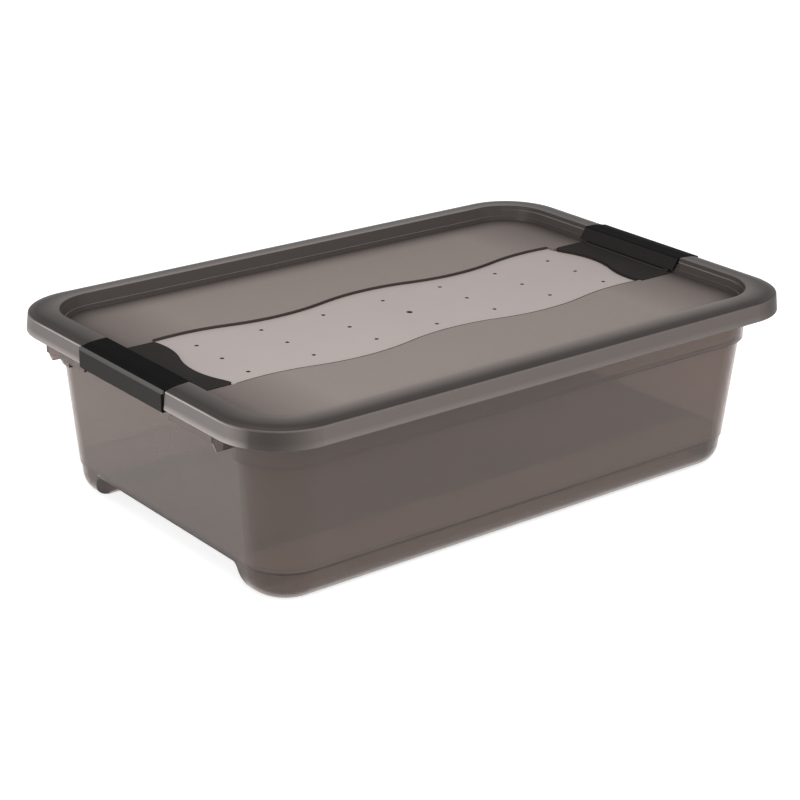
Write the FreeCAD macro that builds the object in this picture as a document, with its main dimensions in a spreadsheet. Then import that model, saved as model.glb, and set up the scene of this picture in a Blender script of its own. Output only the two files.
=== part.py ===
import FreeCAD, Part
import math
import os

import Sketcher
from FreeCAD import Placement, Rotation, Vector

# Storage box: a tapered tub, a lid with a vent strip, and two clips on the short sides.
# Frame: X along the long side, Y along the short side, Z up, origin on the floor under the middle.
# Insets are measured inward from the upright box that the lid's lower edge fits in.

SIZES = [
    ("lid_length", 595.0, "outer length at the lid's lower edge"),
    ("lid_width", 395.0, "outer width at the lid's lower edge"),
    ("lid_corner", 58.0, "plan radius of the lid's corners"),
    ("lid_wall", 2.4, "wall of the lid"),
    ("skirt_flare", 1.8, "how far the skirt leans in towards its top"),
    ("skirt_drop", 2.6, "skirt's lower edge below the tub's flange"),
    ("crease_rise", 13.1, "outer crease of the rim above the tub's flange"),
    ("rim_rise", 3.0, "inner edge of the rim above its outer crease"),
    ("rim_width", 24.7, "inset of the rim's inner edge"),
    ("recess_corner", 45.3, "plan radius of the rim's inner edge"),
    ("rim_flat", 1.0, "flat band along the rim's inner edge"),
    ("dome_inset", 9.5, "inset where the rim's top flattens"),
    ("dome_rise", 2.1, "rim's top there above its outer crease"),
    ("dome_round", 30.0, "rounding of the rim's top there"),
    ("crease_round", 1.6, "rounding of the rim's outer crease"),
    ("skirt_round", 0.8, "rounding of the skirt's lower edge"),
    ("rim_round", 0.7, "rounding of the rim's inner edge"),
    ("ledge_depth", 9.7, "ledge in the inner wall below the rim"),
    ("ledge_inset", 28.0, "inset of the inner wall at the ledge"),
    ("ledge_width", 1.2, "width of the ledge"),
    ("panel_inset", 30.2, "inset of the panel's edge"),
    ("seat_inset", 12.0, "inset of the rib that rests on the flange"),
    ("tub_height", 153.9, "top of the tub's flange above the floor"),
    ("tub_wall", 2.4, "wall of the tub"),
    ("flange_inset", 3.4, "inset of the flange's edge"),
    ("wall_top_inset", 24.0, "inset of the wall at the flange"),
    ("wall_top_corner", 46.0, "plan radius of the wall at the flange"),
    ("wall_foot_inset", 35.0, "inset of the wall just above the base step"),
    ("wall_foot_corner", 39.0, "plan radius of the wall just above the base step"),
    ("collar_top_inset", 23.1, "inset of the collar at the flange"),
    ("collar_foot_inset", 23.6, "inset of the collar at its lower edge"),
    ("collar_drop", 29.4, "lower edge of the collar below the flange's top"),
    ("collar_corner", 46.5, "plan radius of the collar"),
    ("base_step", 1.2, "step between the wall and the base band"),
    ("base_height", 29.4, "top of the base band above the floor"),
    ("base_lean", 2.6, "how far the base band leans in down to the floor"),
    ("base_round", 20.0, "rounding of the base band's lower edge"),
    ("tunnel_height", 25.6, "height of the tunnel between the runners"),
    ("tunnel_roof", 212.0, "width of the tunnel at its roof"),
    ("tunnel_mouth", 238.0, "width of the tunnel at the floor"),
    ("tunnel_round", 6.0, "rounding of the tunnel's roof edges"),
    ("lip_drop", 10.7, "lower edge of the short sides' lip below the flange's top"),
    ("gusset_pitch", 250.0, "distance between the two gussets of a short side"),
    ("gusset_drop", 18.9, "lower edge of the gussets below the flange's top"),
    ("gusset_inset", 8.0, "inset of the gussets' foot"),
    ("strip_depth", 3.4, "depth of the strip's recess in the panel"),
    ("strip_thick", 1.4, "thickness of the vent strip"),
    ("strip_width", 126.0, "mean width of the strip's recess"),
    ("wave_height", 6.0, "height of a wave over the strip's mean edge"),
    ("wave_end_inset", 47.5, "inset of the ends of the waves"),
    ("vent_end_inset", 98.0, "inset of the outermost vents"),
    ("vent_pitch_cross", 38.4, "distance between vents across the strip"),
    ("vent_hole", 3.8, "diameter of a vent"),
    ("centre_hole", 5.8, "diameter of the middle vent"),
    ("strip_gap", 0.8, "gap between a tongue and the strip"),
    ("clip_width", 126.4, "width of a clip"),
    ("clip_side_gap", 0.8, "gap between a clip's end and the rim"),
    ("clip_proud", 1.5, "how far a clip stands out of the lid's box"),
    ("clip_wall", 2.5, "wall of a clip"),
    ("clip_round", 1.2, "rounding of a clip's outer edges"),
    ("hook_thick", 1.7, "thickness of a clip's hook"),
    ("catch_inset", 6.0, "inset of the flange's edge behind a clip"),
    ("catch_play", 0.2, "gap between the hook's tip and that edge"),
    ("catch_gap", 0.6, "gap between the hook and the flange above it"),
    ("clip_head", 26.2, "inset of a clip's inner top edge"),
    ("head_drop", 0.2, "that edge below the rim's top"),
    ("head_round", 1.4, "rounding of that edge"),
    ("pivot_inset", 33.5, "inset of a clip's hinge axis"),
    ("pivot_rise", 0.7, "hinge axis above the panel"),
    ("barrel_radius", 2.0, "radius of the hinge barrel"),
    ("peg_radius", 1.2, "radius of a hinge peg"),
    ("peg_play", 0.08, "radial play of a hinge peg"),
    ("ear_width", 5.6, "width of a hinge ear"),
    ("ear_margin", 0.5, "hinge ears short of the tongue's near end"),
    ("ear_gap", 0.4, "gap between an ear and what turns beside it"),
    ("notch_inset", 21.5, "inset to which the rim is open for a clip"),
    ("notch_top", 6.8, "inner wall's top in the notch below the rim"),
    ("tongue_inset", 31.4, "inset of the tongue's outer edge"),
    ("tongue_rise", 0.6, "tongue's top above the panel"),
    ("tongue_mean", 66.5, "mean inset of the tongue's S-edge"),
    ("tongue_wave", 6.0, "height of the S-edge over its mean"),
    ("tongue_half_wave", 60.0, "length of one bend of the S-edge"),
    ("tongue_crest", 45.0, "place of the S-edge's crest across the lid"),
    ("tongue_far", 62.0, "tongue's end beyond its crest"),
    ("tongue_near", 59.0, "tongue's other end"),
    ("tongue_corner", 4.5, "rounding of the tongue's two corners"),
    ("tongue_play", 0.4, "gap round the tongue and the strip"),
    ("tongue_bevel", 1.0, "bevel of the tongue's edge beside the hinge barrel"),
    ("riser_play", 0.5, "gap between a clip and the lid's inner wall"),
    ("stake_radius", 2.5, "radius of the pegs that fix the tongue"),
    ("stake_pitch", 70.0, "distance between those pegs"),
    ("stake_inset", 48.0, "inset of those pegs"),
    ("stake_length", 4.6, "length of those pegs"),
    ("stake_play", 0.15, "radial play of those pegs"),
    ("overrun", 2.0, "how far every cut runs past the solid"),
]
VENT_COLUMNS = 7
VENT_ROWS = 3
HALF_WAVES = 5

doc = FreeCAD.newDocument("storage_box")
dims = doc.addObject("Spreadsheet::Sheet", "dims")
for row, (alias, value, meaning) in enumerate(SIZES, 1):
    dims.set("A%d" % row, meaning)
    dims.set("B%d" % row, str(value))
    dims.setAlias("B%d" % row, alias)
doc.recompute()


def size(expression):
    """Value of an expression in the sheet's names."""
    return float(dims.evalExpression(expression))


LID_LOW = "(dims.tub_height - dims.skirt_drop)"
CREASE = "(dims.tub_height + dims.crease_rise)"
RIM_TOP = "(dims.tub_height + dims.crease_rise + dims.rim_rise)"
LEDGE = "(%s - dims.ledge_depth)" % RIM_TOP
PANEL_UNDER = "dims.tub_height"
PANEL = "(%s + dims.lid_wall)" % PANEL_UNDER
STRIP_FLOOR = "(%s - dims.strip_depth)" % PANEL
STRIP_UNDER = "(%s - dims.lid_wall)" % STRIP_FLOOR
FLANGE_UNDER = "(dims.tub_height - dims.tub_wall)"
COLLAR_BASE = "(dims.tub_height - dims.collar_drop)"
LIP_BASE = "(dims.tub_height - dims.lip_drop)"
GUSSET_BASE = "(dims.tub_height - dims.gusset_drop)"
HOOK_TOP = "(%s - dims.catch_gap)" % FLANGE_UNDER
CLIP_BASE = "(%s - dims.hook_thick)" % HOOK_TOP
PIVOT_Z = "(%s + dims.pivot_rise)" % PANEL
NOTCH_HALF = "(dims.clip_width / 2 + dims.clip_side_gap)"
END_X = "(dims.lid_length / 2)"
DOME = "(%s + dims.dome_rise)" % CREASE


def left_x(inset):
    """Place along X of an inset from the left end."""
    return "-%s + (%s)" % (END_X, inset)


def right_x(inset):
    """Place along X of an inset from the right end."""
    return "%s - (%s)" % (END_X, inset)


def outline(name, inset, corner, level):
    """Sketch of a rounded rectangle, inset from the lid's box, at a level."""
    half_x = size("dims.lid_length / 2 - (%s)" % inset)
    half_y = size("dims.lid_width / 2 - (%s)" % inset)
    radius = size(corner)
    mid_x = half_x - radius
    mid_y = half_y - radius
    sketch = doc.addObject("Sketcher::SketchObject", name)
    ends = [
        ((-mid_x, -half_y), (mid_x, -half_y)),
        ((half_x, -mid_y), (half_x, mid_y)),
        ((mid_x, half_y), (-mid_x, half_y)),
        ((-half_x, mid_y), (-half_x, -mid_y)),
    ]
    for start, end in ends:
        sketch.addGeometry(Part.LineSegment(Vector(*start), Vector(*end)))
    centres = [(mid_x, -mid_y), (mid_x, mid_y), (-mid_x, mid_y), (-mid_x, -mid_y)]
    for turn, centre in enumerate(centres):
        start_angle = (turn - 1) * math.pi / 2
        circle = Part.Circle(Vector(*centre), Vector(0, 0, 1), radius)
        sketch.addGeometry(Part.ArcOfCircle(circle, start_angle, start_angle + math.pi / 2))
    for side in range(4):
        arc = side + 4
        after = (side + 1) % 4
        sketch.addConstraint(Sketcher.Constraint("Tangent", side, 2, arc, 1))
        sketch.addConstraint(Sketcher.Constraint("Tangent", arc, 2, after, 1))
    for arc in (5, 6, 7):
        sketch.addConstraint(Sketcher.Constraint("Equal", 4, arc))
    sketch.addConstraint(Sketcher.Constraint("Horizontal", 0))
    sketch.addConstraint(Sketcher.Constraint("Vertical", 1))
    sketch.addConstraint(Sketcher.Constraint("Symmetric", 4, 3, 6, 3, -1, 1))
    bound = [
        (Sketcher.Constraint("Radius", 4, radius), corner),
        (
            Sketcher.Constraint("DistanceX", -1, 1, 4, 3, mid_x),
            "dims.lid_length / 2 - (%s) - (%s)" % (inset, corner),
        ),
        (
            Sketcher.Constraint("DistanceY", -1, 1, 5, 3, mid_y),
            "dims.lid_width / 2 - (%s) - (%s)" % (inset, corner),
        ),
    ]
    for constraint, expression in bound:
        index = sketch.addConstraint(constraint)
        sketch.setExpression("Constraints[%d]" % index, expression)
    sketch.setExpression(".Placement.Base.z", level)
    return sketch


def frustum(name, low, high):
    """Solid between two rounded rectangles, each given as inset, corner and level."""
    loft = doc.addObject("Part::Loft", name)
    loft.Sections = [outline(name + "_low", *low), outline(name + "_high", *high)]
    loft.Solid = True
    loft.Ruled = True
    return loft


def box(name, low, high):
    """Block between two corners given as expressions."""
    block = doc.addObject("Part::Box", name)
    for axis, length, start, end in zip("xyz", ("Length", "Width", "Height"), low, high):
        block.setExpression(".Placement.Base." + axis, start)
        block.setExpression(length, "(%s) - (%s)" % (end, start))
    return block


def end_boxes(name, outer, inner, half, low, high):
    """One block at each short side between two insets, over a half width and two levels."""
    left = box(
        name + "_left",
        (left_x(outer), "-(%s)" % half, low),
        (left_x(inner), half, high),
    )
    right = box(
        name + "_right",
        (right_x(inner), "-(%s)" % half, low),
        (right_x(outer), half, high),
    )
    return [left, right]


def fuse(name, pieces):
    joined = doc.addObject("Part::MultiFuse", name)
    joined.Shapes = pieces
    joined.Refine = True
    return joined


def cut(name, base, tools):
    """Base less one tool or several."""
    result = doc.addObject("Part::Cut", name)
    result.Base = base
    result.Tool = tools[0] if len(tools) == 1 else fuse(name + "_tools", tools)
    result.Refine = True
    return result


def common(name, pieces):
    result = doc.addObject("Part::MultiCommon", name)
    result.Shapes = pieces
    result.Refine = True
    return result


def profile(name, points, facing):
    """Sketch of a closed outline, from points given as expressions, on a plane through the origin."""
    sketch = doc.addObject("Sketcher::SketchObject", name)
    sketch.Placement = Placement(Vector(), facing)
    values = [(size(across), size(up)) for across, up in points]
    count = len(values)
    for index, start in enumerate(values):
        end = values[(index + 1) % count]
        sketch.addGeometry(Part.LineSegment(Vector(*start), Vector(*end)))
    for index in range(count):
        after = (index + 1) % count
        sketch.addConstraint(Sketcher.Constraint("Coincident", index, 2, after, 1))
    for index, (across, up) in enumerate(points):
        for kind, place, expression in zip(("DistanceX", "DistanceY"), values[index], (across, up)):
            bound = sketch.addConstraint(Sketcher.Constraint(kind, -1, 1, index, 1, place))
            sketch.setExpression("Constraints[%d]" % bound, expression)
    return sketch


def prism(name, points, width):
    """Outline in the upright plane along X, drawn out to both sides along Y."""
    block = doc.addObject("Part::Extrusion", name)
    block.Base = profile(name + "_outline", points, Rotation(Vector(1, 0, 0), 90))
    block.DirMode = "Normal"
    block.Solid = True
    block.Symmetric = True
    block.setExpression("LengthFwd", width)
    return block


def rod_across(name, inset, level, radius, low, high):
    """Cylinder along Y on the left side of the box."""
    rod = doc.addObject("Part::Cylinder", name)
    rod.Placement = Placement(Vector(), Rotation(Vector(1, 0, 0), -90))
    rod.setExpression("Radius", radius)
    rod.setExpression("Height", "(%s) - (%s)" % (high, low))
    rod.setExpression(".Placement.Base.x", left_x(inset))
    rod.setExpression(".Placement.Base.y", low)
    rod.setExpression(".Placement.Base.z", level)
    return rod


def post(name, x, y, radius, low, high):
    """Upright cylinder."""
    rod = doc.addObject("Part::Cylinder", name)
    rod.setExpression("Radius", radius)
    rod.setExpression("Height", "(%s) - (%s)" % (high, low))
    rod.setExpression(".Placement.Base.x", x)
    rod.setExpression(".Placement.Base.y", y)
    rod.setExpression(".Placement.Base.z", low)
    return rod


def rounded(name, base, chosen, radius):
    """Rounds the edges of a solid whose end points satisfy a test."""
    doc.recompute()
    edges = []
    for number, edge in enumerate(base.Shape.Edges, 1):
        if chosen([vertex.Point for vertex in edge.Vertexes]):
            edges.append((number, size(radius), size(radius)))
    result = doc.addObject("Part::Fillet", name)
    result.Base = base
    result.Edges = edges
    return result


def same(first, second):
    return math.isclose(first, second, abs_tol=size("dims.peg_play"))


def at_level(level):
    height = size(level)
    return lambda points: all(same(point.z, height) for point in points)


def drawn(name, face, low, high):
    """Upright solid on a flat outline, between two levels."""
    solid = doc.addObject("Part::Feature", name)
    solid.Shape = face.extrude(Vector(0, 0, size(high) - size(low)))
    solid.Placement = Placement(Vector(0, 0, size(low)), Rotation())
    return solid


# Tub


def tub_body(name, wall, floor):
    """Filled form of the tub, drawn in by a wall and raised by a floor."""
    band_inset = "dims.wall_foot_inset + dims.base_step + %s" % wall
    band_corner = "dims.wall_foot_corner - dims.base_step - %s" % wall
    band = frustum(
        name + "_band",
        (band_inset + " + dims.base_lean", band_corner + " - dims.base_lean", floor),
        (band_inset, band_corner, "dims.base_height + %s" % floor),
    )
    band_round = rounded(name + "_band_round", band, at_level(floor), "dims.base_round - %s" % wall)
    side = frustum(
        name + "_side",
        (
            "dims.wall_foot_inset + %s" % wall,
            "dims.wall_foot_corner - %s" % wall,
            "dims.base_height + %s" % floor,
        ),
        ("dims.wall_top_inset + %s" % wall, "dims.wall_top_corner - %s" % wall, "dims.tub_height"),
    )
    collar_corner = "dims.collar_corner - %s" % wall
    collar = frustum(
        name + "_collar",
        ("dims.collar_foot_inset + %s" % wall, collar_corner, "%s + %s" % (COLLAR_BASE, floor)),
        ("dims.collar_top_inset + %s" % wall, collar_corner, "dims.tub_height"),
    )
    grips = end_boxes(
        name + "_grip",
        "-dims.overrun",
        "dims.lid_corner",
        "dims.gusset_pitch / 2 + %s" % wall,
        COLLAR_BASE + " - dims.overrun",
        "dims.tub_height + dims.overrun",
    )
    return [band_round, side, cut(name + "_collar_open", collar, grips)]


def tunnel(name, grow):
    """Tunnel along X under the floor, grown all round by a wall."""
    slope = "((dims.tunnel_mouth - dims.tunnel_roof) / 2 / dims.tunnel_height)"
    top = "(dims.tunnel_height + %s)" % grow
    mouth = "(dims.tunnel_mouth / 2 + %s * sqrt(1 + %s ^ 2))" % (grow, slope)
    roof = "(%s - %s * %s)" % (mouth, slope, top)
    below = "(%s + %s * dims.overrun)" % (mouth, slope)
    points = [
        ("-" + below, "-dims.overrun"),
        (below, "-dims.overrun"),
        (roof, top),
        ("-" + roof, top),
    ]
    block = doc.addObject("Part::Extrusion", name + "_block")
    block.Base = profile(name + "_outline", points, Rotation(Vector(1, 1, 1), 120))
    block.DirMode = "Normal"
    block.Solid = True
    block.Symmetric = True
    block.setExpression("LengthFwd", "dims.lid_length")
    roof_level = at_level(top)
    roof_edges = lambda points: roof_level(points) and same(points[0].y, points[-1].y)
    return rounded(name, block, roof_edges, "dims.tunnel_round + %s" % grow)


def ring(name, inset, wall, low, high):
    """Upright band that follows the lid's outline."""
    corner = "dims.lid_corner - (%s)" % inset
    outer = frustum(name + "_outer", (inset, corner, low), (inset, corner, high))
    within = "%s + %s" % (inset, wall)
    inner_corner = "dims.lid_corner - (%s)" % within
    inner = frustum(
        name + "_inner",
        (within, inner_corner, "%s - dims.overrun" % low),
        (within, inner_corner, "%s + dims.overrun" % high),
    )
    return cut(name, outer, [inner])


def gusset(end, name, place):
    """Rib between the lip and the wall, on the left or right short side."""
    from_end = left_x if end == "left" else right_x
    lip_inner = "dims.flange_inset + dims.tub_wall / 2"
    wall_middle = "dims.wall_top_inset + dims.tub_wall"
    rib = prism(
        "gusset_%s_%s" % (name, end),
        [
            (from_end(lip_inner), FLANGE_UNDER + " + dims.tub_wall / 2"),
            (from_end(lip_inner), LIP_BASE),
            (from_end("dims.gusset_inset"), GUSSET_BASE),
            (from_end(wall_middle), GUSSET_BASE),
            (from_end(wall_middle), FLANGE_UNDER + " + dims.tub_wall / 2"),
        ],
        "dims.tub_wall",
    )
    rib.setExpression(".Placement.Base.y", place)
    return rib


def build_tub():
    filled = tub_body("tub_filled", "0", "0")
    flange_corner = "dims.lid_corner - dims.flange_inset"
    flange = frustum(
        "flange",
        ("dims.flange_inset", flange_corner, FLANGE_UNDER),
        ("dims.flange_inset", flange_corner, "dims.tub_height"),
    )
    lip_ring = ring("lip_ring", "dims.flange_inset", "dims.tub_wall", LIP_BASE, "dims.tub_height")
    lip_keep = end_boxes(
        "lip_keep",
        "-dims.overrun",
        "dims.lid_corner",
        "dims.gusset_pitch / 2 + dims.tub_wall / 2",
        LIP_BASE + " - dims.overrun",
        "dims.tub_height + dims.overrun",
    )
    lips = common("lips", [lip_ring, fuse("lip_spans", lip_keep)])
    clip_zone = end_boxes(
        "clip_zone",
        "-dims.overrun",
        "dims.catch_inset",
        NOTCH_HALF,
        LIP_BASE + " - dims.overrun",
        "dims.tub_height + dims.overrun",
    )
    rim = cut("rim_open", fuse("rim", [flange, lips]), clip_zone)
    gussets = []
    for end in ("left", "right"):
        gussets.append(gusset(end, "near", "-dims.gusset_pitch / 2"))
        gussets.append(gusset(end, "far", "dims.gusset_pitch / 2"))
    outside = fuse("tub_outside", filled + [rim] + gussets)
    hollow = fuse("tub_hollow", tub_body("tub_inside", "dims.tub_wall", "dims.tub_wall"))
    cavity = cut("tub_cavity", hollow, [tunnel("tunnel_shell", "dims.tub_wall")])
    tub = cut("tub_solid", outside, [cavity, tunnel("tunnel", "0")])
    tub.Label = "tub"
    return tub


# Lid


def arc_through(first, middle, last):
    return Part.Arc(Vector(*first), Vector(*middle), Vector(*last)).toShape()


def line_between(first, last):
    return Part.LineSegment(Vector(*first), Vector(*last)).toShape()


def wave_face(margin):
    """Flat outline of the strip's recess: two wavy edges that run side by side, drawn in by a margin."""
    run = size("dims.lid_length / 2 - dims.wave_end_inset")
    step = 2 * run / HALF_WAVES
    half_width = size("dims.strip_width / 2") - margin
    height = size("dims.wave_height")
    edges = []
    for side in (-1, 1):
        mean = side * half_width
        for count in range(HALF_WAVES):
            start = -run + count * step
            crest = mean + (height if count % 2 == 0 else -height)
            edges.append(arc_through((start, mean), (start + step / 2, crest), (start + step, mean)))
    edges.append(line_between((-run, -half_width), (-run, half_width)))
    edges.append(line_between((run, -half_width), (run, half_width)))
    return Part.Face(Part.Wire(Part.__sortEdges__(edges)))


def s_edge(shift, far, near):
    """S-shaped edge of the left tongue between two places across the lid, moved inward by a shift."""
    mean = size("-dims.lid_length / 2 + dims.tongue_mean") + shift
    wave = size("dims.tongue_wave")
    half_chord = size("dims.tongue_half_wave / 2")
    crest = size("dims.tongue_crest")
    radius = (half_chord**2 + wave**2) / (2 * wave)

    def on_crest(centre, across):
        return mean + wave - radius + math.sqrt(radius**2 - (across - centre) ** 2), across

    bend = crest - half_chord
    trough = bend - half_chord
    turn = trough - half_chord
    low_crest = turn - half_chord
    upper_middle = (far + bend) / 2
    lower_middle = (turn + near) / 2
    return [
        arc_through(on_crest(crest, far), on_crest(crest, upper_middle), (mean, bend)),
        arc_through((mean, bend), (mean - wave, trough), (mean, turn)),
        arc_through((mean, turn), on_crest(low_crest, lower_middle), on_crest(low_crest, near)),
    ]


def tongue_face():
    """Flat outline of the left tongue."""
    far = size("dims.tongue_far")
    near = size("-dims.tongue_near")
    outer = size("-dims.lid_length / 2 + dims.tongue_inset")
    edges = s_edge(0, far, near)
    far_corner = edges[0].Vertexes[0].Point
    near_corner = edges[-1].Vertexes[-1].Point
    edges.append(line_between((near_corner.x, near), (outer, near)))
    edges.append(line_between((outer, near), (outer, far)))
    edges.append(line_between((outer, far), (far_corner.x, far)))
    return Part.Face(Part.Wire(Part.__sortEdges__(edges)))


def strip_face(gap):
    """Flat outline that ends a gap away from the S-edges of both tongues."""
    reach = size("dims.strip_width / 2 + 2 * dims.wave_height")
    left = s_edge(size(gap), reach, -reach)
    half_turn = Placement(Vector(), Rotation(Vector(0, 0, 1), 180))
    right = []
    for edge in left:
        turned = edge.copy()
        turned.Placement = half_turn
        right.append(turned)
    left_far = left[0].Vertexes[0].Point
    left_near = left[-1].Vertexes[-1].Point
    edges = left + right
    edges.append(line_between((left_far.x, reach), (-left_near.x, reach)))
    edges.append(line_between((left_near.x, -reach), (-left_far.x, -reach)))
    return Part.Face(Part.Wire(Part.__sortEdges__(edges)))


def half_turned(solid):
    """Turns a finished piece half a turn to the right-hand side of the box."""
    solid.Placement = Placement(Vector(), Rotation(Vector(0, 0, 1), 180)).multiply(solid.Placement)
    return solid


def vents(name, grow, low, high):
    """Lattice of upright rods, the middle one larger."""
    rods = []
    for column in range(VENT_COLUMNS):
        for line in range(VENT_ROWS):
            along = column - (VENT_COLUMNS - 1) // 2
            across = line - (VENT_ROWS - 1) // 2
            hole = "dims.centre_hole" if along == 0 and across == 0 else "dims.vent_hole"
            rods.append(
                post(
                    "%s_%d_%d" % (name, column, line),
                    "(dims.lid_length - 2 * dims.vent_end_inset) * %d / %d" % (along, VENT_COLUMNS - 1),
                    "dims.vent_pitch_cross * %d" % across,
                    "%s / 2 + %s" % (hole, grow),
                    low,
                    high,
                )
            )
    return rods


def stakes(name, grow, low, high):
    """Pegs that fix the left tongue, or their holes."""
    return [
        post(
            "%s_%d" % (name, count),
            "-%s + dims.stake_inset" % END_X,
            "dims.stake_pitch * %s" % share,
            "dims.stake_radius + %s" % grow,
            low,
            high,
        )
        for count, share in enumerate(("-1 / 2", "1 / 2"))
    ]


def build_lid():
    crease_corner = "dims.lid_corner - dims.skirt_flare"
    recess_corner = "dims.recess_corner + dims.rim_width - (%s)"
    skirt = frustum(
        "skirt", ("0", "dims.lid_corner", LID_LOW), ("dims.skirt_flare", crease_corner, CREASE)
    )
    dome_corner = "dims.lid_corner - dims.dome_inset"
    slope_band = frustum(
        "crown_slope",
        ("dims.skirt_flare", crease_corner, CREASE),
        ("dims.dome_inset", dome_corner, DOME),
    )
    top_band = frustum(
        "crown_top",
        ("dims.dome_inset", dome_corner, DOME),
        ("dims.rim_width - dims.rim_flat", "dims.recess_corner + dims.rim_flat", RIM_TOP),
    )
    block = fuse("lid_block", [skirt, slope_band, top_band])
    block_dome = rounded("lid_dome", block, at_level(DOME), "dims.dome_round")
    block_crease = rounded("lid_crease", block_dome, at_level(CREASE), "dims.crease_round")
    block_round = rounded("lid_skirt_edge", block_crease, at_level(LID_LOW), "dims.skirt_round")
    wall_slope = "(dims.ledge_inset - dims.rim_width) / dims.ledge_depth"
    above = "%s * dims.overrun" % wall_slope
    upper = frustum(
        "recess_upper",
        ("dims.ledge_inset", recess_corner % "dims.ledge_inset", LEDGE),
        ("dims.rim_width - " + above, "dims.recess_corner + " + above, RIM_TOP + " + dims.overrun"),
    )
    ledge_in = "dims.ledge_inset + dims.ledge_width"
    lower = frustum(
        "recess_lower",
        ("dims.panel_inset", recess_corner % "dims.panel_inset", PANEL),
        (ledge_in, recess_corner % ledge_in, LEDGE),
    )
    roof_low = "%s - dims.lid_wall" % CREASE
    roof_high = "%s - dims.lid_wall" % RIM_TOP
    inner_top = "dims.skirt_flare + dims.lid_wall"
    leg_top = "dims.rim_width - dims.lid_wall"
    under_skirt = frustum(
        "under_skirt",
        ("dims.lid_wall", "dims.lid_corner - dims.lid_wall", LID_LOW + " - dims.overrun"),
        (inner_top, "dims.lid_corner - (%s)" % inner_top, roof_low),
    )
    under_crown = frustum(
        "under_crown",
        (inner_top, "dims.lid_corner - (%s)" % inner_top, roof_low),
        (leg_top, recess_corner % leg_top, roof_high),
    )
    pan_low = "dims.panel_inset - dims.lid_wall"
    pan = frustum(
        "pan",
        (pan_low, recess_corner % pan_low, PANEL_UNDER),
        (leg_top, recess_corner % leg_top, RIM_TOP),
    )
    end_walls = end_boxes(
        "notch_end",
        "-dims.overrun",
        "dims.notch_inset",
        NOTCH_HALF + " + dims.lid_wall",
        "dims.tub_height",
        RIM_TOP + " + dims.overrun",
    )
    seat = ring("seat_rib", "dims.seat_inset", "dims.lid_wall", "dims.tub_height", roof_high)
    under_rim = fuse("lid_under", [under_skirt, under_crown])
    channel = cut("lid_channel", under_rim, [pan] + end_walls + [seat])
    shell_sharp = cut("lid_shell_sharp", block_round, [upper, lower, channel])
    rim_level = at_level(RIM_TOP)
    rim_half = size("dims.lid_length / 2 - dims.rim_width + dims.rim_flat / 2")
    rim_half_across = size("dims.lid_width / 2 - dims.rim_width + dims.rim_flat / 2")
    inner_edge = lambda points: rim_level(points) and all(
        abs(point.x) < rim_half and abs(point.y) < rim_half_across for point in points
    )
    shell = rounded("lid_shell", shell_sharp, inner_edge, "dims.rim_round")

    wall = size("dims.lid_wall")
    play = size("dims.tongue_play")
    tongue = tongue_face()
    pocket_face = tongue.makeOffset2D(play)
    dish_face = tongue.makeOffset2D(play + wall)
    wave_dish = drawn("wave_dish", wave_face(-wall), STRIP_UNDER, PANEL_UNDER)
    tongue_dish_left = drawn("tongue_dish_left", dish_face, STRIP_UNDER, PANEL_UNDER)
    tongue_dish_right = half_turned(drawn("tongue_dish_right", dish_face, STRIP_UNDER, PANEL_UNDER))
    dished = fuse("lid_dished", [shell, wave_dish, tongue_dish_left, tongue_dish_right])
    recess_top = PANEL + " + dims.overrun"
    wave_band = drawn("wave_band", wave_face(0), STRIP_FLOOR, recess_top)
    wave_ends = drawn("wave_ends", strip_face("0"), STRIP_FLOOR, recess_top)
    tools = [
        common("wave_recess", [wave_band, wave_ends]),
        drawn("tongue_pocket_left", pocket_face, STRIP_FLOOR, recess_top),
        half_turned(drawn("tongue_pocket_right", pocket_face, STRIP_FLOOR, recess_top)),
    ]
    tools += end_boxes(
        "notch",
        "-dims.overrun",
        "dims.notch_inset",
        NOTCH_HALF,
        LID_LOW + " - dims.overrun",
        RIM_TOP + " + dims.overrun",
    )
    tools += end_boxes(
        "notch_crown",
        "dims.notch_inset - dims.overrun",
        "dims.panel_inset",
        NOTCH_HALF,
        "%s - dims.notch_top" % RIM_TOP,
        RIM_TOP + " + dims.overrun",
    )
    under = STRIP_UNDER + " - dims.overrun"
    tools += vents("lid_vent", "0", under, recess_top)
    tools += stakes("stake_hole_left", "dims.stake_play", under, recess_top)
    tools += [half_turned(hole) for hole in stakes_right(under, recess_top)]
    lid = cut("lid_solid", dished, tools)
    lid.Label = "lid"
    return lid


def stakes_right(low, high):
    """Peg holes for the right tongue, drawn on the left and turned over by the caller."""
    along = size("-dims.lid_length / 2 + dims.stake_inset")
    across = size("dims.stake_pitch / 2")
    holes = []
    for count, place in enumerate((-across, across)):
        hole = doc.addObject("Part::Feature", "stake_hole_right_%d" % count)
        hole.Shape = Part.makeCylinder(
            size("dims.stake_radius + dims.stake_play"),
            size(high) - size(low),
            Vector(along, place, size(low)),
        )
        holes.append(hole)
    return holes


def build_strip():
    top = STRIP_FLOOR + " + dims.strip_thick"
    band = drawn("strip_band", wave_face(size("dims.tongue_play")), STRIP_FLOOR, top)
    ends = drawn("strip_ends", strip_face("dims.strip_gap"), STRIP_FLOOR, top)
    blank = common("strip_blank", [band, ends])
    low = STRIP_FLOOR + " - dims.overrun"
    strip = cut("strip_solid", blank, vents("strip_vent", "0", low, top + " + dims.overrun"))
    strip.Label = "vent_strip"
    return strip


# Clips, drawn on the left and turned over for the right


EAR_OUTER = "(dims.tongue_near - dims.ear_margin)"
EAR_INNER = "(%s - dims.ear_width)" % EAR_OUTER
BARREL_END = "(%s - dims.ear_gap)" % EAR_INNER


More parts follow.
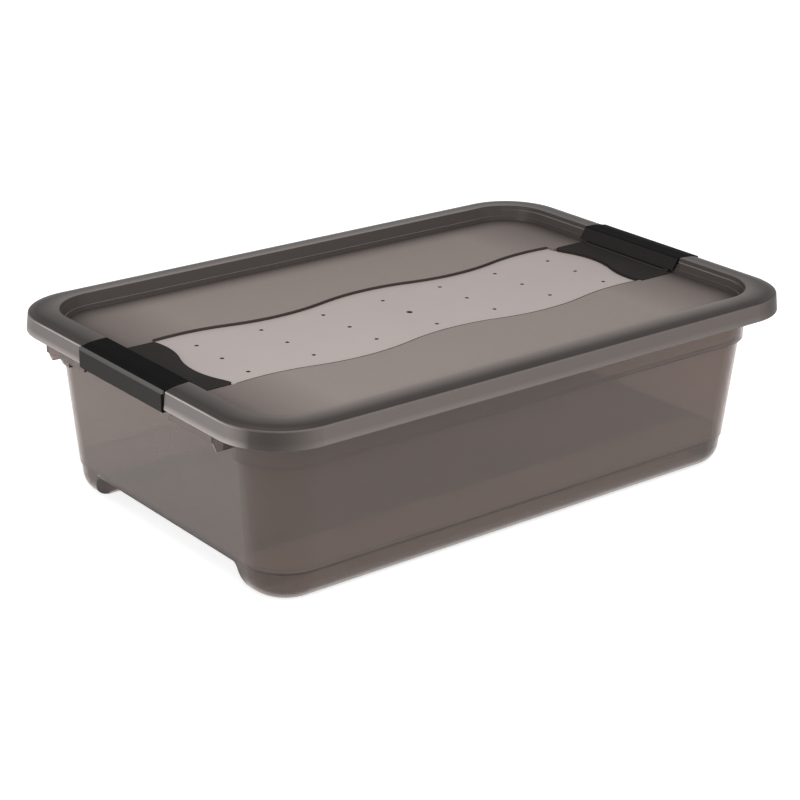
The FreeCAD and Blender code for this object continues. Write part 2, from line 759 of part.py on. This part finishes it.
def build_plate(side):
    """S-edged tongue with two hinge ears at its outer edge and pegs under it."""
    tongue_top = PANEL + " + dims.tongue_rise"
    slab = drawn("tongue_%s" % side, tongue_face(), STRIP_FLOOR, tongue_top)
    ends = (size("dims.tongue_far"), size("-dims.tongue_near"))
    middle = size(left_x("dims.tongue_mean / 2 + dims.tongue_inset / 2"))
    corners = lambda points: points[0].x > middle and any(
        all(same(point.y, end) for point in points) and same(points[0].x, points[-1].x) for end in ends
    )
    slab_round = rounded("tongue_round_%s" % side, slab, corners, "dims.tongue_corner")
    bay_edge = "dims.pivot_inset + dims.barrel_radius + dims.ear_gap"
    bay = prism(
        "hinge_bay_%s" % side,
        [
            (left_x("dims.tongue_inset - dims.overrun"), STRIP_FLOOR + " - dims.overrun"),
            (left_x(bay_edge), STRIP_FLOOR + " - dims.overrun"),
            (left_x(bay_edge), tongue_top + " - dims.tongue_bevel"),
            (left_x(bay_edge + " + dims.tongue_bevel + dims.overrun"), tongue_top + " + dims.overrun"),
            (left_x("dims.tongue_inset - dims.overrun"), tongue_top + " + dims.overrun"),
        ],
        "2 * %s" % EAR_INNER,
    )
    ears = []
    for end, low, high in (("near", "-" + EAR_OUTER, "-" + EAR_INNER), ("far", EAR_INNER, EAR_OUTER)):
        name = "ear_%s_%s" % (end, side)
        ears.append(rod_across(name, "dims.pivot_inset", PIVOT_Z, "dims.barrel_radius", low, high))
    pegs = stakes(
        "stake_%s" % side,
        "0",
        STRIP_FLOOR + " - dims.stake_length",
        STRIP_FLOOR + " + dims.strip_thick",
    )
    open_slab = cut("tongue_bay_%s" % side, slab_round, [bay])
    body = fuse("plate_body_%s" % side, [open_slab] + ears + pegs)
    bore = rod_across(
        "ear_bore_%s" % side,
        "dims.pivot_inset",
        PIVOT_Z,
        "dims.peg_radius + dims.peg_play",
        "-%s - dims.overrun" % EAR_OUTER,
        "%s + dims.overrun" % EAR_OUTER,
    )
    plate = cut("plate_%s" % side, body, [bore])
    plate.Label = "clip_plate_" + side
    return plate


def build_lever(side):
    """Cap over the rim with a hook at its outer foot and a hinge barrel with pegs at its inner foot."""
    outer = "-dims.clip_proud"
    inner = "dims.clip_wall - dims.clip_proud"
    head = "%s - dims.head_drop" % RIM_TOP
    wall_slope = "(dims.ledge_inset - dims.rim_width) / dims.ledge_depth"
    notch_level = "(%s - dims.notch_top + dims.riser_play)" % RIM_TOP
    notch_back = "dims.rim_width + %s * dims.notch_top + dims.riser_play" % wall_slope
    ledge_back = "dims.ledge_inset + dims.ledge_width + dims.riser_play"
    dome_slope = "dims.dome_rise / (dims.dome_inset + dims.clip_proud)"
    cap = prism(
        "cap_%s" % side,
        [
            (left_x(outer), CREASE),
            (left_x("dims.dome_inset"), DOME),
            (left_x("dims.clip_head"), head),
            (left_x("dims.pivot_inset"), PIVOT_Z + " + dims.barrel_radius"),
            (left_x("dims.pivot_inset"), PIVOT_Z),
            (left_x("dims.pivot_inset - dims.barrel_radius"), PIVOT_Z),
            (left_x(ledge_back), LEDGE),
            (left_x(notch_back), notch_level),
            (left_x("dims.rim_width"), head + " - dims.clip_wall"),
            (left_x("dims.dome_inset"), DOME + " - dims.clip_wall"),
            (left_x(inner), "%s + %s * dims.clip_wall - dims.clip_wall" % (CREASE, dome_slope)),
            (left_x(inner), HOOK_TOP),
            (left_x("dims.catch_inset - dims.catch_play"), HOOK_TOP),
            (left_x("dims.catch_inset - dims.catch_play"), CLIP_BASE),
            (left_x(outer), CLIP_BASE),
        ],
        "dims.clip_width",
    )
    dome_x = size(left_x("dims.dome_inset"))
    head_x = size(left_x("dims.clip_head"))
    outer_x = size(left_x(outer))
    dome_z = size(DOME)
    on_dome = lambda points: all(same(point.x, dome_x) and same(point.z, dome_z) for point in points)
    on_head = lambda points: all(same(point.x, head_x) for point in points)
    on_face = lambda points: all(same(point.x, outer_x) for point in points)
    cap_dome = rounded("cap_dome_%s" % side, cap, on_dome, "dims.dome_round")
    cap_head = rounded("cap_head_%s" % side, cap_dome, on_head, "dims.head_round")
    cap_round = rounded("cap_round_%s" % side, cap_head, on_face, "dims.clip_round")
    room_top = PIVOT_Z + " + dims.barrel_radius + dims.ear_gap"
    ear_room = []
    for end, low, high in (
        ("near", "-dims.clip_width / 2 - dims.overrun", "-" + BARREL_END),
        ("far", BARREL_END, "dims.clip_width / 2 + dims.overrun"),
    ):
        ear_room.append(
            box(
                "ear_room_%s_%s" % (end, side),
                (left_x("dims.panel_inset - dims.overrun"), low, PANEL),
                (left_x("dims.pivot_inset + 2 * dims.barrel_radius"), high, room_top),
            )
        )
    barrel = rod_across(
        "barrel_%s" % side,
        "dims.pivot_inset",
        PIVOT_Z,
        "dims.barrel_radius",
        "-" + BARREL_END,
        BARREL_END,
    )
    pegs = rod_across(
        "pegs_%s" % side,
        "dims.pivot_inset",
        PIVOT_Z,
        "dims.peg_radius",
        "-%s + dims.ear_gap" % EAR_OUTER,
        "%s - dims.ear_gap" % EAR_OUTER,
    )
    cap_open = cut("cap_open_%s" % side, cap_round, ear_room)
    lever = fuse("lever_%s" % side, [cap_open, barrel, pegs])
    lever.Label = "clip_lever_" + side
    return lever


nodes = [build_tub(), build_lid(), build_strip()]
for side in ("left", "right"):
    plate = build_plate(side)
    lever = build_lever(side)
    if side == "right":
        half_turned(plate)
        half_turned(lever)
    nodes += [plate, lever]
doc.recompute()

faults = [item.Name for item in doc.Objects if "Invalid" in item.State or "Error" in item.State]
if faults:
    raise RuntimeError("failed objects: " + ", ".join(faults))
for node in nodes:
    if node.Shape.isNull() or not node.Shape.isValid() or len(node.Shape.Solids) != 1:
        raise RuntimeError("bad solid: " + node.Label)

os.makedirs("parts", exist_ok=True)
for node in nodes:
    node.Shape.exportStep("parts/%s.step" % node.Label)
    extent = node.Shape.BoundBox
    print(
        "%s volume %.0f, x %.1f to %.1f, y %.1f to %.1f, z %.1f to %.1f"
        % (
            node.Label,
            node.Shape.Volume,
            extent.XMin,
            extent.XMax,
            extent.YMin,
            extent.YMax,
            extent.ZMin,
            extent.ZMax,
        )
    )
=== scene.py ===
import math

import bpy
from mathutils import Matrix, Vector

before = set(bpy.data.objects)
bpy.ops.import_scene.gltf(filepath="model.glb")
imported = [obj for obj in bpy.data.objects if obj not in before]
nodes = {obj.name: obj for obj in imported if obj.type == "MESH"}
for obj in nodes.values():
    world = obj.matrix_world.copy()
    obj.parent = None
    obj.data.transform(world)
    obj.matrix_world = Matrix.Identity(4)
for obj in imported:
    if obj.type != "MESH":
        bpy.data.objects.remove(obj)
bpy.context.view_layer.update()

# Lengths are in metres. Heights start at the floor, and places at the middle of the box.

# Lid: its outline, the lower edge of its skirt, and the crease where the skirt meets the crown
LID_LENGTH = 0.595
LID_WIDTH = 0.395
LID_CORNER = 0.058
LID_LOW = 0.1513
RIM_CREASE = 0.1662

# Rim: painted shade, dark at the lid's edge and lighter further in, and darker again near the ends of the
# box
CROWN_START = 0.002
CROWN_END = 0.0245
CROWN_POWER = 1.6
RIM_TURN = 0.21
RIM_END = 0.27
RIM_CLOUD_SHARE = 0.06

# Skirt: a painted highlight along its lower edge, painted shade round the corners, and painted light on
# the short sides
EDGE_BAND = 0.006
CORNER_FACING = 0.5
CORNER_SHADE_SHARE = 0.75

# Glint on the crease of the short sides: it fades towards the corners and is faint inside the rim
GLINT_HALF = 0.0005
GLINT_START = 0.120
GLINT_END = 0.168
INNER_GLINT_SHARE = 0.25

# Panel: its outline, its top, how far over that its finish reaches, and the reach and share of the painted
# shade along its margins and towards its ends
PANEL_INSET = 0.0302
PANEL_CORNER = 0.0398
PANEL_TOP = 0.1563
PANEL_RISE = 0.0012
PANEL_SHADE_REACH = 0.030
PANEL_SHADE_SHARE = 0.16
PANEL_END_SHADE_REACH = 0.090
PANEL_END_SHADE_SHARE = 0.5
PANEL_ROUGHNESS = 0.6

# Vent strip and its recess: their long edges are equal arcs that bend to and fro about a mean line
WAVE_RUN = 0.25
HALF_WAVES = 5
WAVE_STEP = 2 * WAVE_RUN / HALF_WAVES
WAVE_HEIGHT = 0.006
WAVE_RADIUS = ((WAVE_STEP / 2) ** 2 + WAVE_HEIGHT**2) / (2 * WAVE_HEIGHT)
WAVE_MEAN = 0.063
# Widths of the painted shade lines along the strip's edges and round its recess
STRIP_SHADE_LINE = 0.0010
RECESS_SHADE_LINE = 0.0013
RECESS_LOW = 0.1525
RECESS_END = 0.225

# Tub: painted shadow lines under the steps at the collar and round the base, and the hand grips at the
# ends, where the collar is left out
COLLAR_LOW = 0.1245
BASE_TOP = 0.0294
STEP_SHADOW_HALF = 0.0008
STEP_SHADOW_SHARE = 0.1
GRIP_START = 0.25
GRIP_HALF = 0.125

# Clips: the painted highlight line on their outer crease
CLIP_OUTER = 0.2965
CLIP_HIGHLIGHT_HALF = 0.0013

# Turned faces: how squarely one points some way when its tone, mostly painted light or shade, starts to
# change, and when it has changed
OUTWARD_START = 0.2
OUTWARD_FULL = 0.8
ENDWARD_START = 0.85
ENDWARD_FULL = 0.98
UPRIGHT_START = 0.7
UPRIGHT_FULL = 0.3
CLIP_FACE_LIGHT_START = 0.75
CLIP_FACE_LIGHT_FULL = 1.0

# Colours, linear
SMOKY_TUB = (0.297, 0.226, 0.197, 1.0)
SMOKY_BASE = (0.205, 0.152, 0.130, 1.0)
# Painted shade at the rim's crease and halfway round the skirt's corners
CREASE_AND_CORNER_SHADE = (0.014, 0.0120, 0.0112, 1.0)
SMOKY_RIM = (0.17, 0.146, 0.136, 1.0)
# Painted shade on the rim near the ends of the box
RIM_END_SHADE = (0.082, 0.071, 0.066, 1.0)
# Painted shade on the rim's inner walls
INNER_WALL_SHADE = (0.047, 0.039, 0.0355, 1.0)
SMOKY_SKIRT = (0.124, 0.106, 0.098, 1.0)
# Painted highlights along the skirt's foot and painted light on its short sides; the last also colours the
# glint
SKIRT_EDGE_HIGHLIGHT = (0.165, 0.147, 0.138, 1.0)
END_SKIRT_LIGHT = (0.172, 0.155, 0.149, 1.0)
END_EDGE_HIGHLIGHT = (0.38, 0.35, 0.335, 1.0)
SMOKY_PANEL = (0.222, 0.188, 0.174, 1.0)
# Painted shade in the strip's recess and along the strip's edges and holes
RECESS_SHADE = (0.045, 0.036, 0.033, 1.0)
STRIP_GREY = (0.312, 0.270, 0.257, 1.0)
LEVER_BLACK = (0.006, 0.0056, 0.0056, 1.0)
# Painted light on the lever's end faces and a painted highlight on its crease
LEVER_FACE_LIGHT = (0.040, 0.0375, 0.0365, 1.0)
LEVER_CREASE_HIGHLIGHT = (0.085, 0.082, 0.080, 1.0)
PLATE_BLACK = (0.0225, 0.0203, 0.0193, 1.0)
FLOOR_GREY = (0.6, 0.6, 0.6, 1.0)
WHITE = (1.0, 1.0, 1.0, 1.0)

# Studio: the floor's size and glow, the world's light, and where the lamps point
FLOOR_SIZE = 14.0
FLOOR_LIFT = 0.75
WORLD_LEVEL = 0.46
BOX_MIDDLE = (0.0, 0.0, 0.1)
PANEL_LEFT = (-0.1, -0.05, 0.1)

# Camera: where it stood for the photo, with its lens and sensor in millimetres
CAMERA_PLACE = (-1.11828, -1.38646, 0.77176)
CAMERA_AIM = (0.04414, 0.06674, 0.03896)
CAMERA_ROLL = math.radians(0.8488)
CAMERA_LENS = 95.592
CAMERA_SENSOR = 36.0
CAMERA_REACH = 50.0


def shade(colour, share):
    """A colour made lighter or darker."""
    return tuple(channel * share for channel in colour[:3]) + (1.0,)


class Finish:
    """A plastic made of nodes, with short ways to add and join them."""

    def __init__(self, name):
        self.material = bpy.data.materials.new(name)
        self.material.use_nodes = True
        self.tree = self.material.node_tree
        self.plastic = self.tree.nodes["Principled BSDF"]
        self.place = self.add("ShaderNodeTexCoord").outputs["Object"]
        axes = self.split(self.place)
        self.x = axes["X"]
        self.y = axes["Y"]
        self.z = axes["Z"]

    def add(self, kind, **settings):
        """A new node with some of its settings."""
        node = self.tree.nodes.new(kind)
        for key, value in settings.items():
            setattr(node, key, value)
        return node

    def fill(self, socket, value):
        """Sets a socket to a value or joins it to another node's output."""
        if isinstance(value, bpy.types.NodeSocket):
            self.tree.links.new(value, socket)
        else:
            socket.default_value = value

    def split(self, vector):
        """The X, Y and Z of a vector."""
        node = self.add("ShaderNodeSeparateXYZ")
        self.fill(node.inputs["Vector"], vector)
        return node.outputs

    def facing(self):
        """The X, Y and Z of the way that a face points."""
        return self.split(self.add("ShaderNodeNewGeometry").outputs["Normal"])

    def math(self, operation, *values):
        """The result of one of Blender's math operations."""
        node = self.add("ShaderNodeMath", operation=operation)
        for socket, value in zip(node.inputs, values):
            self.fill(socket, value)
        return node.outputs["Value"]

    def times(self, first, second):
        return self.math("MULTIPLY", first, second)

    def minus(self, first, second):
        return self.math("SUBTRACT", first, second)

    def absolute(self, value):
        return self.math("ABSOLUTE", value)

    def above(self, value, limit):
        """1 where a value is above a limit, or else 0."""
        return self.math("GREATER_THAN", value, limit)

    def below(self, value, limit):
        """1 where a value is below a limit, or else 0."""
        return self.math("LESS_THAN", value, limit)

    def near(self, value, middle, reach):
        """1 where a value is within reach of a middle, or else 0."""
        return self.math("COMPARE", value, middle, reach)

    def between(self, factor, low, high, start=0.0, end=1.0):
        """A number that runs from low to high while a factor runs from start to end."""
        node = self.add("ShaderNodeMapRange")
        self.fill(node.inputs["Value"], factor)
        self.fill(node.inputs["From Min"], start)
        self.fill(node.inputs["From Max"], end)
        self.fill(node.inputs["To Min"], low)
        self.fill(node.inputs["To Max"], high)
        return node.outputs["Result"]

    def ramp(self, factor, start, end):
        """A number that runs from 0 to 1 while a factor runs from start to end."""
        return self.between(factor, low=0.0, high=1.0, start=start, end=end)

    def blend(self, factor, first, second, kind="RGBA"):
        """A colour, or a number where kind is FLOAT, between two others."""
        node = self.add("ShaderNodeMix", data_type=kind)
        self.fill(node.inputs["Factor"], factor)
        self.fill(node.inputs["A"], first)
        self.fill(node.inputs["B"], second)
        return node.outputs["Result"]

    def mottle(self, factor, colour, dark, light):
        """A colour that a factor takes from a dark to a light share of itself."""
        return self.blend(factor, shade(colour, dark), shade(colour, light))

    def noise(self, scale, detail=3.0, rough=0.5, stretch=(1.0, 1.0, 1.0)):
        """Soft random patches, all over the piece."""
        spread = self.add("ShaderNodeMapping")
        self.fill(spread.inputs["Scale"], stretch)
        self.fill(spread.inputs["Vector"], self.place)
        cloud = self.add("ShaderNodeTexNoise")
        self.fill(cloud.inputs["Scale"], scale)
        self.fill(cloud.inputs["Detail"], detail)
        self.fill(cloud.inputs["Roughness"], rough)
        self.fill(cloud.inputs["Vector"], spread.outputs["Vector"])
        return cloud.outputs["Fac"]

    def inset(self, half_x, half_y, corner):
        """How far a point lies inside a rounded rectangle, up to its corner's radius."""
        squares = []
        for place, half in ((self.x, half_x), (self.y, half_y)):
            past = self.minus(self.absolute(place), half - corner)
            beyond = self.math("MAXIMUM", past, 0.0)
            squares.append(self.times(beyond, beyond))
        away = self.math("SQRT", self.math("ADD", *squares))
        return self.minus(corner, away)

    def inside_wave(self):
        """How far a point lies inside the wavy edges that the vent strip and its recess follow."""
        along = self.math("DIVIDE", self.math("ADD", self.x, WAVE_RUN), WAVE_STEP)
        count = self.math("FLOOR", along)
        share = self.minus(self.minus(along, count), 0.5)
        from_crest = self.times(share, WAVE_STEP)
        under = self.minus(WAVE_RADIUS**2, self.times(from_crest, from_crest))
        rise = self.minus(self.math("SQRT", under), WAVE_RADIUS - WAVE_HEIGHT)
        odd = self.math("FLOORED_MODULO", count, 2.0)
        sign = self.minus(1.0, self.times(odd, 2.0))
        shifted = self.minus(self.y, self.times(rise, sign))
        return self.minus(WAVE_MEAN, self.absolute(shifted))

    def bump(self, height, strength, distance):
        """Raises the surface in looks only."""
        node = self.add("ShaderNodeBump")
        self.fill(node.inputs["Strength"], strength)
        self.fill(node.inputs["Distance"], distance)
        self.fill(node.inputs["Height"], height)
        self.fill(self.plastic.inputs["Normal"], node.outputs["Normal"])

    def paint(self, **sockets):
        """Fills sockets of the plastic, which are named with a space for each underscore of a key."""
        for name, value in sockets.items():
            self.fill(self.plastic.inputs[name.replace("_", " ")], value)


def tub_finish():
    """Smoky clear plastic with faint flow clouds, and painted shadow lines under the steps at the collar
    and round the base.
    """
    finish = Finish("tub_smoky_plastic")
    clouds = finish.noise(scale=6.0, stretch=(0.6, 0.6, 1.6))
    body = finish.mottle(clouds, SMOKY_TUB, dark=0.95, light=1.05)
    footed = finish.blend(finish.below(finish.z, BASE_TOP), body, SMOKY_BASE)
    at_end = finish.above(finish.absolute(finish.x), GRIP_START)
    at_grip = finish.times(at_end, finish.below(finish.absolute(finish.y), GRIP_HALF))
    # Painted shadow lines just under the collar's step and the base's step, left out at the grips
    under_collar = finish.near(finish.z, COLLAR_LOW - STEP_SHADOW_HALF, STEP_SHADOW_HALF)
    round_base = finish.near(finish.z, BASE_TOP - STEP_SHADOW_HALF, STEP_SHADOW_HALF)
    step_shadow = finish.math("MAXIMUM", finish.minus(under_collar, at_grip), round_base)
    finish.paint(
        Base_Color=finish.blend(step_shadow, footed, shade(SMOKY_TUB, STEP_SHADOW_SHARE)),
        Roughness=finish.between(finish.noise(scale=30.0), low=0.04, high=0.07),
        IOR=1.38,
        Specular_IOR_Level=0.4,
        Transmission_Weight=0.86,
    )
    finish.bump(finish.noise(scale=5.0, detail=1.0), strength=0.03, distance=0.001)
    return finish.material


def rim_colour(finish):
    """The crown of the lid's rim, with faint clouds and painted shade: dark at the crease, lighter further
    in and darker near the ends.
    """
    inset = finish.inset(LID_LENGTH / 2, LID_WIDTH / 2, LID_CORNER)
    # Painted shade: dark at the crease, lighter inwards, darker near the ends of the box
    crown = finish.math("POWER", finish.ramp(inset, CROWN_START, CROWN_END), CROWN_POWER)
    near_end = finish.ramp(finish.absolute(finish.x), RIM_TURN, RIM_END)
    inner = finish.blend(near_end, SMOKY_RIM, RIM_END_SHADE)
    rim = finish.blend(crown, CREASE_AND_CORNER_SHADE, inner)
    clouds = finish.noise(scale=7.0, detail=4.0)
    return finish.blend(clouds, rim, finish.blend(RIM_CLOUD_SHARE, rim, SMOKY_PANEL))


def skirt_colour(finish, facing):
    """The lid's skirt along the long sides, round the corners and on the short sides, with a painted
    highlight in a band along its foot, painted shade round the corners and painted light on the short
    sides.
    """
    # Band along the skirt's foot that gets a painted highlight
    edge = finish.ramp(finish.z, LID_LOW + EDGE_BAND, LID_LOW)
    endward = finish.absolute(facing["X"])
    round_corner = finish.times(endward, finish.absolute(facing["Y"]))
    # Painted shade halfway round the corners
    dark = finish.between(round_corner, low=0.0, high=CORNER_SHADE_SHARE, start=0.0, end=CORNER_FACING)
    long_side = finish.blend(edge, SMOKY_SKIRT, SKIRT_EDGE_HIGHLIGHT)
    turned = finish.blend(dark, long_side, CREASE_AND_CORNER_SHADE)
    # Painted light on the short sides, with a painted highlight along their foot
    short_side = finish.blend(edge, END_SKIRT_LIGHT, END_EDGE_HIGHLIGHT)
    return finish.blend(finish.ramp(endward, ENDWARD_START, ENDWARD_FULL), turned, short_side)


def glint_share(finish, outward):
    """How much of the pale glint shows at a point of the rim."""
    off_corner = finish.ramp(finish.absolute(finish.y), GLINT_END, GLINT_START)
    on_crease = finish.near(finish.z, RIM_CREASE, GLINT_HALF)
    outside = finish.between(
        outward, low=INNER_GLINT_SHARE, high=1.0, start=-OUTWARD_START, end=OUTWARD_START
    )
    return finish.times(off_corner, finish.times(on_crease, outside))


def panel_colour(finish, grain, within):
    """The lid's grained panel, with painted shade along its margins and towards its ends, and the darkest
    painted shade in the strip's recess.
    """
    speckle = finish.mottle(grain, SMOKY_PANEL, dark=0.86, light=1.14)
    # Painted shade towards the ends of the panel
    from_end = finish.minus(LID_LENGTH / 2 - PANEL_INSET, finish.absolute(finish.x))
    off_end = finish.ramp(from_end, 0.0, PANEL_END_SHADE_REACH)
    ended = finish.blend(off_end, shade(SMOKY_PANEL, PANEL_END_SHADE_SHARE), speckle)
    # Painted shade along the wall round the panel
    by_wall = finish.ramp(within, PANEL_SHADE_REACH, 0.0)
    margin_shade = finish.times(by_wall, by_wall)
    shaded = finish.blend(margin_shade, ended, shade(SMOKY_PANEL, PANEL_SHADE_SHARE))
    # Painted shade in the strip's recess, with a painted shade line just round it
    in_wave = finish.above(finish.inside_wave(), -RECESS_SHADE_LINE)
    between_clips = finish.below(finish.absolute(finish.x), RECESS_END)
    over_floor = finish.above(finish.z, RECESS_LOW)
    recess = finish.times(in_wave, finish.times(between_clips, over_floor))
    return finish.blend(recess, shaded, RECESS_SHADE)


def lid_finish():
    """Dark rim with a lighter skirt, their tones partly painted shade and painted highlights, and a fine
    matt grain that is strong on the recessed panel only.
    """
    finish = Finish("lid_smoky_plastic")
    facing = finish.facing()
    along = finish.times(facing["X"], finish.math("DIVIDE", finish.x, LID_LENGTH / 2))
    across = finish.times(facing["Y"], finish.math("DIVIDE", finish.y, LID_WIDTH / 2))
    outward = finish.math("ADD", along, across)
    inner_wall = finish.ramp(outward, -OUTWARD_START, -OUTWARD_FULL)
    skirt = finish.ramp(outward, OUTWARD_START, OUTWARD_FULL)
    # Faces that point inwards, the rim's inner walls, get painted shade
    walled = finish.blend(inner_wall, rim_colour(finish), INNER_WALL_SHADE)
    skirted = finish.blend(skirt, walled, skirt_colour(finish, facing))
    glinted = finish.blend(glint_share(finish, outward), skirted, END_EDGE_HIGHLIGHT)
    within = finish.inset(LID_LENGTH / 2 - PANEL_INSET, LID_WIDTH / 2 - PANEL_INSET, PANEL_CORNER)
    low = finish.below(finish.z, PANEL_TOP + PANEL_RISE)
    panel = finish.times(low, finish.above(within, 0.0))
    grain = finish.noise(scale=900.0, detail=2.0, rough=0.6)
    smooth = finish.between(finish.noise(scale=40.0), low=0.26, high=0.34)
    finish.paint(
        Base_Color=finish.blend(panel, glinted, panel_colour(finish, grain, within)),
        Roughness=finish.blend(panel, smooth, PANEL_ROUGHNESS, kind="FLOAT"),
        IOR=1.49,
        Specular_IOR_Level=0.02,
        Transmission_Weight=0.1,
    )
    finish.bump(grain, strength=finish.between(panel, low=0.02, high=0.25), distance=0.0006)
    return finish.material


def strip_finish():
    """Smooth light pinkish grey with faint clouds, and painted shade along its wavy edges, on its upright
    faces and in its holes.
    """
    finish = Finish("strip_light_plastic")
    body = finish.mottle(finish.noise(scale=10.0, detail=4.0), STRIP_GREY, dark=0.96, light=1.04)
    # Painted shade along the strip's wavy edges and on its upright faces, the walls of its holes among
    # them
    line = finish.below(finish.inside_wave(), STRIP_SHADE_LINE)
    upright = finish.ramp(finish.absolute(finish.facing()["Z"]), UPRIGHT_START, UPRIGHT_FULL)
    finish.paint(
        Base_Color=finish.blend(finish.math("MAXIMUM", line, upright), body, RECESS_SHADE),
        Roughness=finish.between(finish.noise(scale=60.0), low=0.4, high=0.5),
        IOR=1.49,
        Specular_IOR_Level=0.2,
    )
    finish.bump(finish.noise(scale=700.0), strength=0.04, distance=0.0004)
    return finish.material


def clip_finish(name, black, face):
    """Black with a fine moulded texture, painted light on faces that point to the ends and a painted
    highlight on the outer crease.
    """
    finish = Finish(name)
    clouded = finish.mottle(finish.noise(scale=15.0), black, dark=0.8, light=1.25)
    # Painted light on faces that point to the ends
    endward = finish.absolute(finish.facing()["X"])
    faced = finish.blend(finish.ramp(endward, CLIP_FACE_LIGHT_START, CLIP_FACE_LIGHT_FULL), clouded, face)
    # Painted highlight line on the outer crease
    outer = finish.above(finish.absolute(finish.x), CLIP_OUTER)
    line = finish.times(outer, finish.near(finish.z, RIM_CREASE, CLIP_HIGHLIGHT_HALF))
    finish.paint(
        Base_Color=finish.blend(line, faced, LEVER_CREASE_HIGHLIGHT),
        Roughness=finish.between(finish.noise(scale=70.0), low=0.42, high=0.52),
        IOR=1.5,
        Specular_IOR_Level=0.003,
    )
    finish.bump(finish.noise(scale=1200.0, detail=2.0), strength=0.08, distance=0.0004)
    return finish.material


def dress(names, material):
    """Gives nodes of the box their finish."""
    for name in names:
        node = nodes[name]
        node.data.materials.clear()
        node.data.materials.append(material)


def white_rays(tree):
    """1 for rays that see the background straight, in a reflection or through the plastic, or else 0."""
    path = tree.nodes.new("ShaderNodeLightPath")
    rays = path.outputs["Is Camera Ray"]
    for kind in ("Is Glossy Ray", "Is Transmission Ray"):
        either = tree.nodes.new("ShaderNodeMath")
        either.operation = "MAXIMUM"
        tree.links.new(rays, either.inputs[0])
        tree.links.new(path.outputs[kind], either.inputs[1])
        rays = either.outputs["Value"]
    return rays


def lay_floor():
    """A plain pale floor that looks white and still takes the shadow of the box."""
    bpy.ops.object.select_all(action="DESELECT")
    bpy.ops.mesh.primitive_plane_add(size=FLOOR_SIZE)
    floor = bpy.context.object
    floor.name = "studio_floor"
    material = bpy.data.materials.new("studio_floor")
    material.use_nodes = True
    tree = material.node_tree
    surface = tree.nodes["Principled BSDF"]
    surface.inputs["Base Color"].default_value = FLOOR_GREY
    surface.inputs["Roughness"].default_value = 1.0
    surface.inputs["Specular IOR Level"].default_value = 0.0
    surface.inputs["Emission Color"].default_value = WHITE
    lift = tree.nodes.new("ShaderNodeMath")
    lift.operation = "MULTIPLY"
    tree.links.new(white_rays(tree), lift.inputs[0])
    lift.inputs[1].default_value = FLOOR_LIFT
    tree.links.new(lift.outputs["Value"], surface.inputs["Emission Strength"])
    floor.data.materials.append(material)


def fill_world():
    """White all round, which lights the box at a lower level than it shows."""
    world = bpy.data.worlds.new("studio_world")
    bpy.context.scene.world = world
    world.use_nodes = True
    tree = world.node_tree
    background = tree.nodes["Background"]
    background.inputs["Color"].default_value = WHITE
    level = tree.nodes.new("ShaderNodeMapRange")
    tree.links.new(white_rays(tree), level.inputs["Value"])
    level.inputs["To Min"].default_value = WORLD_LEVEL
    level.inputs["To Max"].default_value = 1.0
    tree.links.new(level.outputs["Result"], background.inputs["Strength"])


def set_up(name, data, place, aim, roll=0.0):
    """Puts a lamp or a camera at a place, turned to an aim and rolled about its own line of sight."""
    holder = bpy.data.objects.new(name, data)
    bpy.context.scene.collection.objects.link(holder)
    toward = Vector(aim) - Vector(place)
    turn = toward.to_track_quat("-Z", "Y").to_matrix().to_4x4()
    holder.matrix_world = Matrix.Translation(place) @ turn @ Matrix.Rotation(roll, 4, "Z")
    return holder


def hang_lamp(name, place, aim, width, watts):
    """A square soft lamp."""
    lamp = bpy.data.lights.new(name, "AREA")
    lamp.size = width
    lamp.energy = watts
    set_up(name, lamp, place, aim)


def set_camera():
    """The photo's view."""
    camera = bpy.data.cameras.new("photo_camera")
    camera.sensor_width = CAMERA_SENSOR
    camera.lens = CAMERA_LENS
    camera.clip_end = CAMERA_REACH
    bpy.context.scene.camera = set_up("photo_camera", camera, CAMERA_PLACE, CAMERA_AIM, CAMERA_ROLL)


plate_finish = clip_finish("plate_black_plastic", black=PLATE_BLACK, face=PLATE_BLACK)
lever_finish = clip_finish("lever_black_plastic", black=LEVER_BLACK, face=LEVER_FACE_LIGHT)
dress(["tub"], tub_finish())
dress(["lid"], lid_finish())
dress(["vent_strip"], strip_finish())
dress(["clip_plate_left", "clip_plate_right"], plate_finish)
dress(["clip_lever_left", "clip_lever_right"], lever_finish)

lay_floor()
fill_world()
hang_lamp("back_lamp", place=(-1.3, 2.4, 1.3), aim=BOX_MIDDLE, width=1.4, watts=8.0)
hang_lamp("front_lamp", place=(1.2, -2.6, 1.0), aim=BOX_MIDDLE, width=2.0, watts=23.0)
hang_lamp("top_lamp", place=(-0.4, -0.85, 1.25), aim=PANEL_LEFT, width=1.0, watts=19.0)
hang_lamp("left_lamp", place=(-2.4, -0.5, 0.7), aim=BOX_MIDDLE, width=1.2, watts=30.0)
set_camera()
bpy.context.scene.view_settings.view_transform = "Standard"
